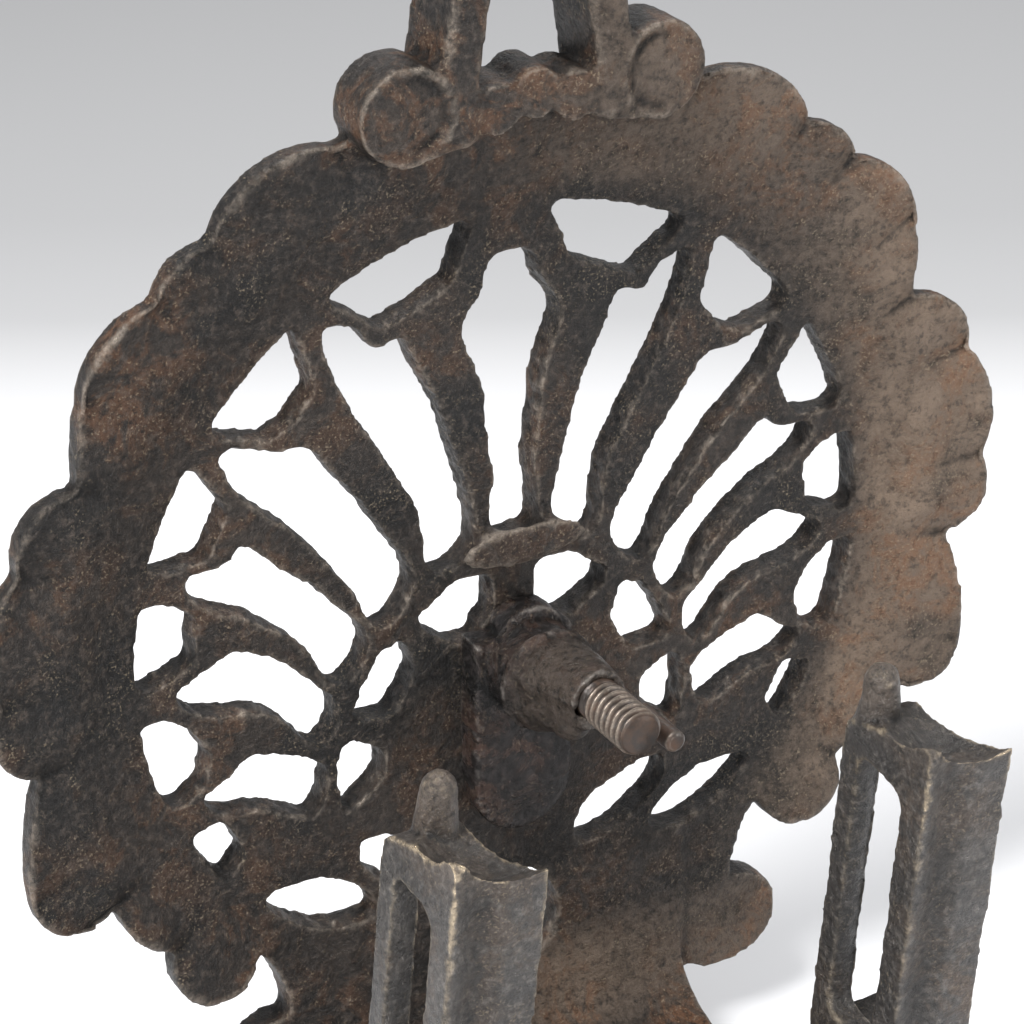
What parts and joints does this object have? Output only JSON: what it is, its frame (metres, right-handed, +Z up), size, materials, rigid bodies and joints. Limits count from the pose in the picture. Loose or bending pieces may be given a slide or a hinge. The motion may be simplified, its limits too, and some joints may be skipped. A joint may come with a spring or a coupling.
{
  "type": "sad iron stand",
  "caption": "Small cast-iron laundry stand: openwork fan plate with scalloped rim and finger ring on a base, threaded stud and dowel on its back, folding slotted posts.",
  "frame": {"origin": "on the table under the base, on the middle plane and under the fan plate's plain back face", "axes": "+Z up; +Y towards the ornamental side of the fan plate, so the stud and the posts are on the -Y side; +X to the right seen from the posts' side"},
  "size_m": [0.1514, 0.0725, 0.2113],
  "materials": {
    "plate_iron": "old dark cast iron, rough sand-cast skin, rust-brown patina",
    "base_iron": "old dark cast iron, rough sand-cast skin",
    "bracket_iron": "old dark cast iron, handled and slightly polished",
    "post_iron": "greyer cast iron with bright worn edges",
    "stud_steel": "browned steel thread with bright crests",
    "pin_steel": "browned steel",
    "rod_steel": "browned steel",
    "washer_steel": "browned steel",
    "nut_steel": "browned steel",
    "screw_steel": "browned steel"
  },
  "bodies": {
    "stand": {"back_plate": "plate_iron", "base": "base_iron", "hub_bracket": "bracket_iron", "threaded_stud": "stud_steel", "dowel_pin": "pin_steel", "hinge_rod": "rod_steel", "foot_screw_left": "screw_steel", "foot_screw_right": "screw_steel", "rod_washer_left": "washer_steel", "rod_washer_right": "washer_steel", "rod_nut_left": "nut_steel", "rod_nut_right": "nut_steel"},
    "post_left_body": {"post_left": "post_iron"},
    "post_right_body": {"post_right": "post_iron"}
  },
  "joints": [
    {"name": "post_left_fold", "type": "hinge", "parent": "stand", "child": "post_left_body", "pos_m": [-0.0352, -0.039, 0.013], "axis": [1, 0, 0], "range_deg": [-20, 68]},
    {"name": "post_right_fold", "type": "hinge", "parent": "stand", "child": "post_right_body", "pos_m": [0.0352, -0.039, 0.013], "axis": [1, 0, 0], "range_deg": [-20, 68]}
  ]
}
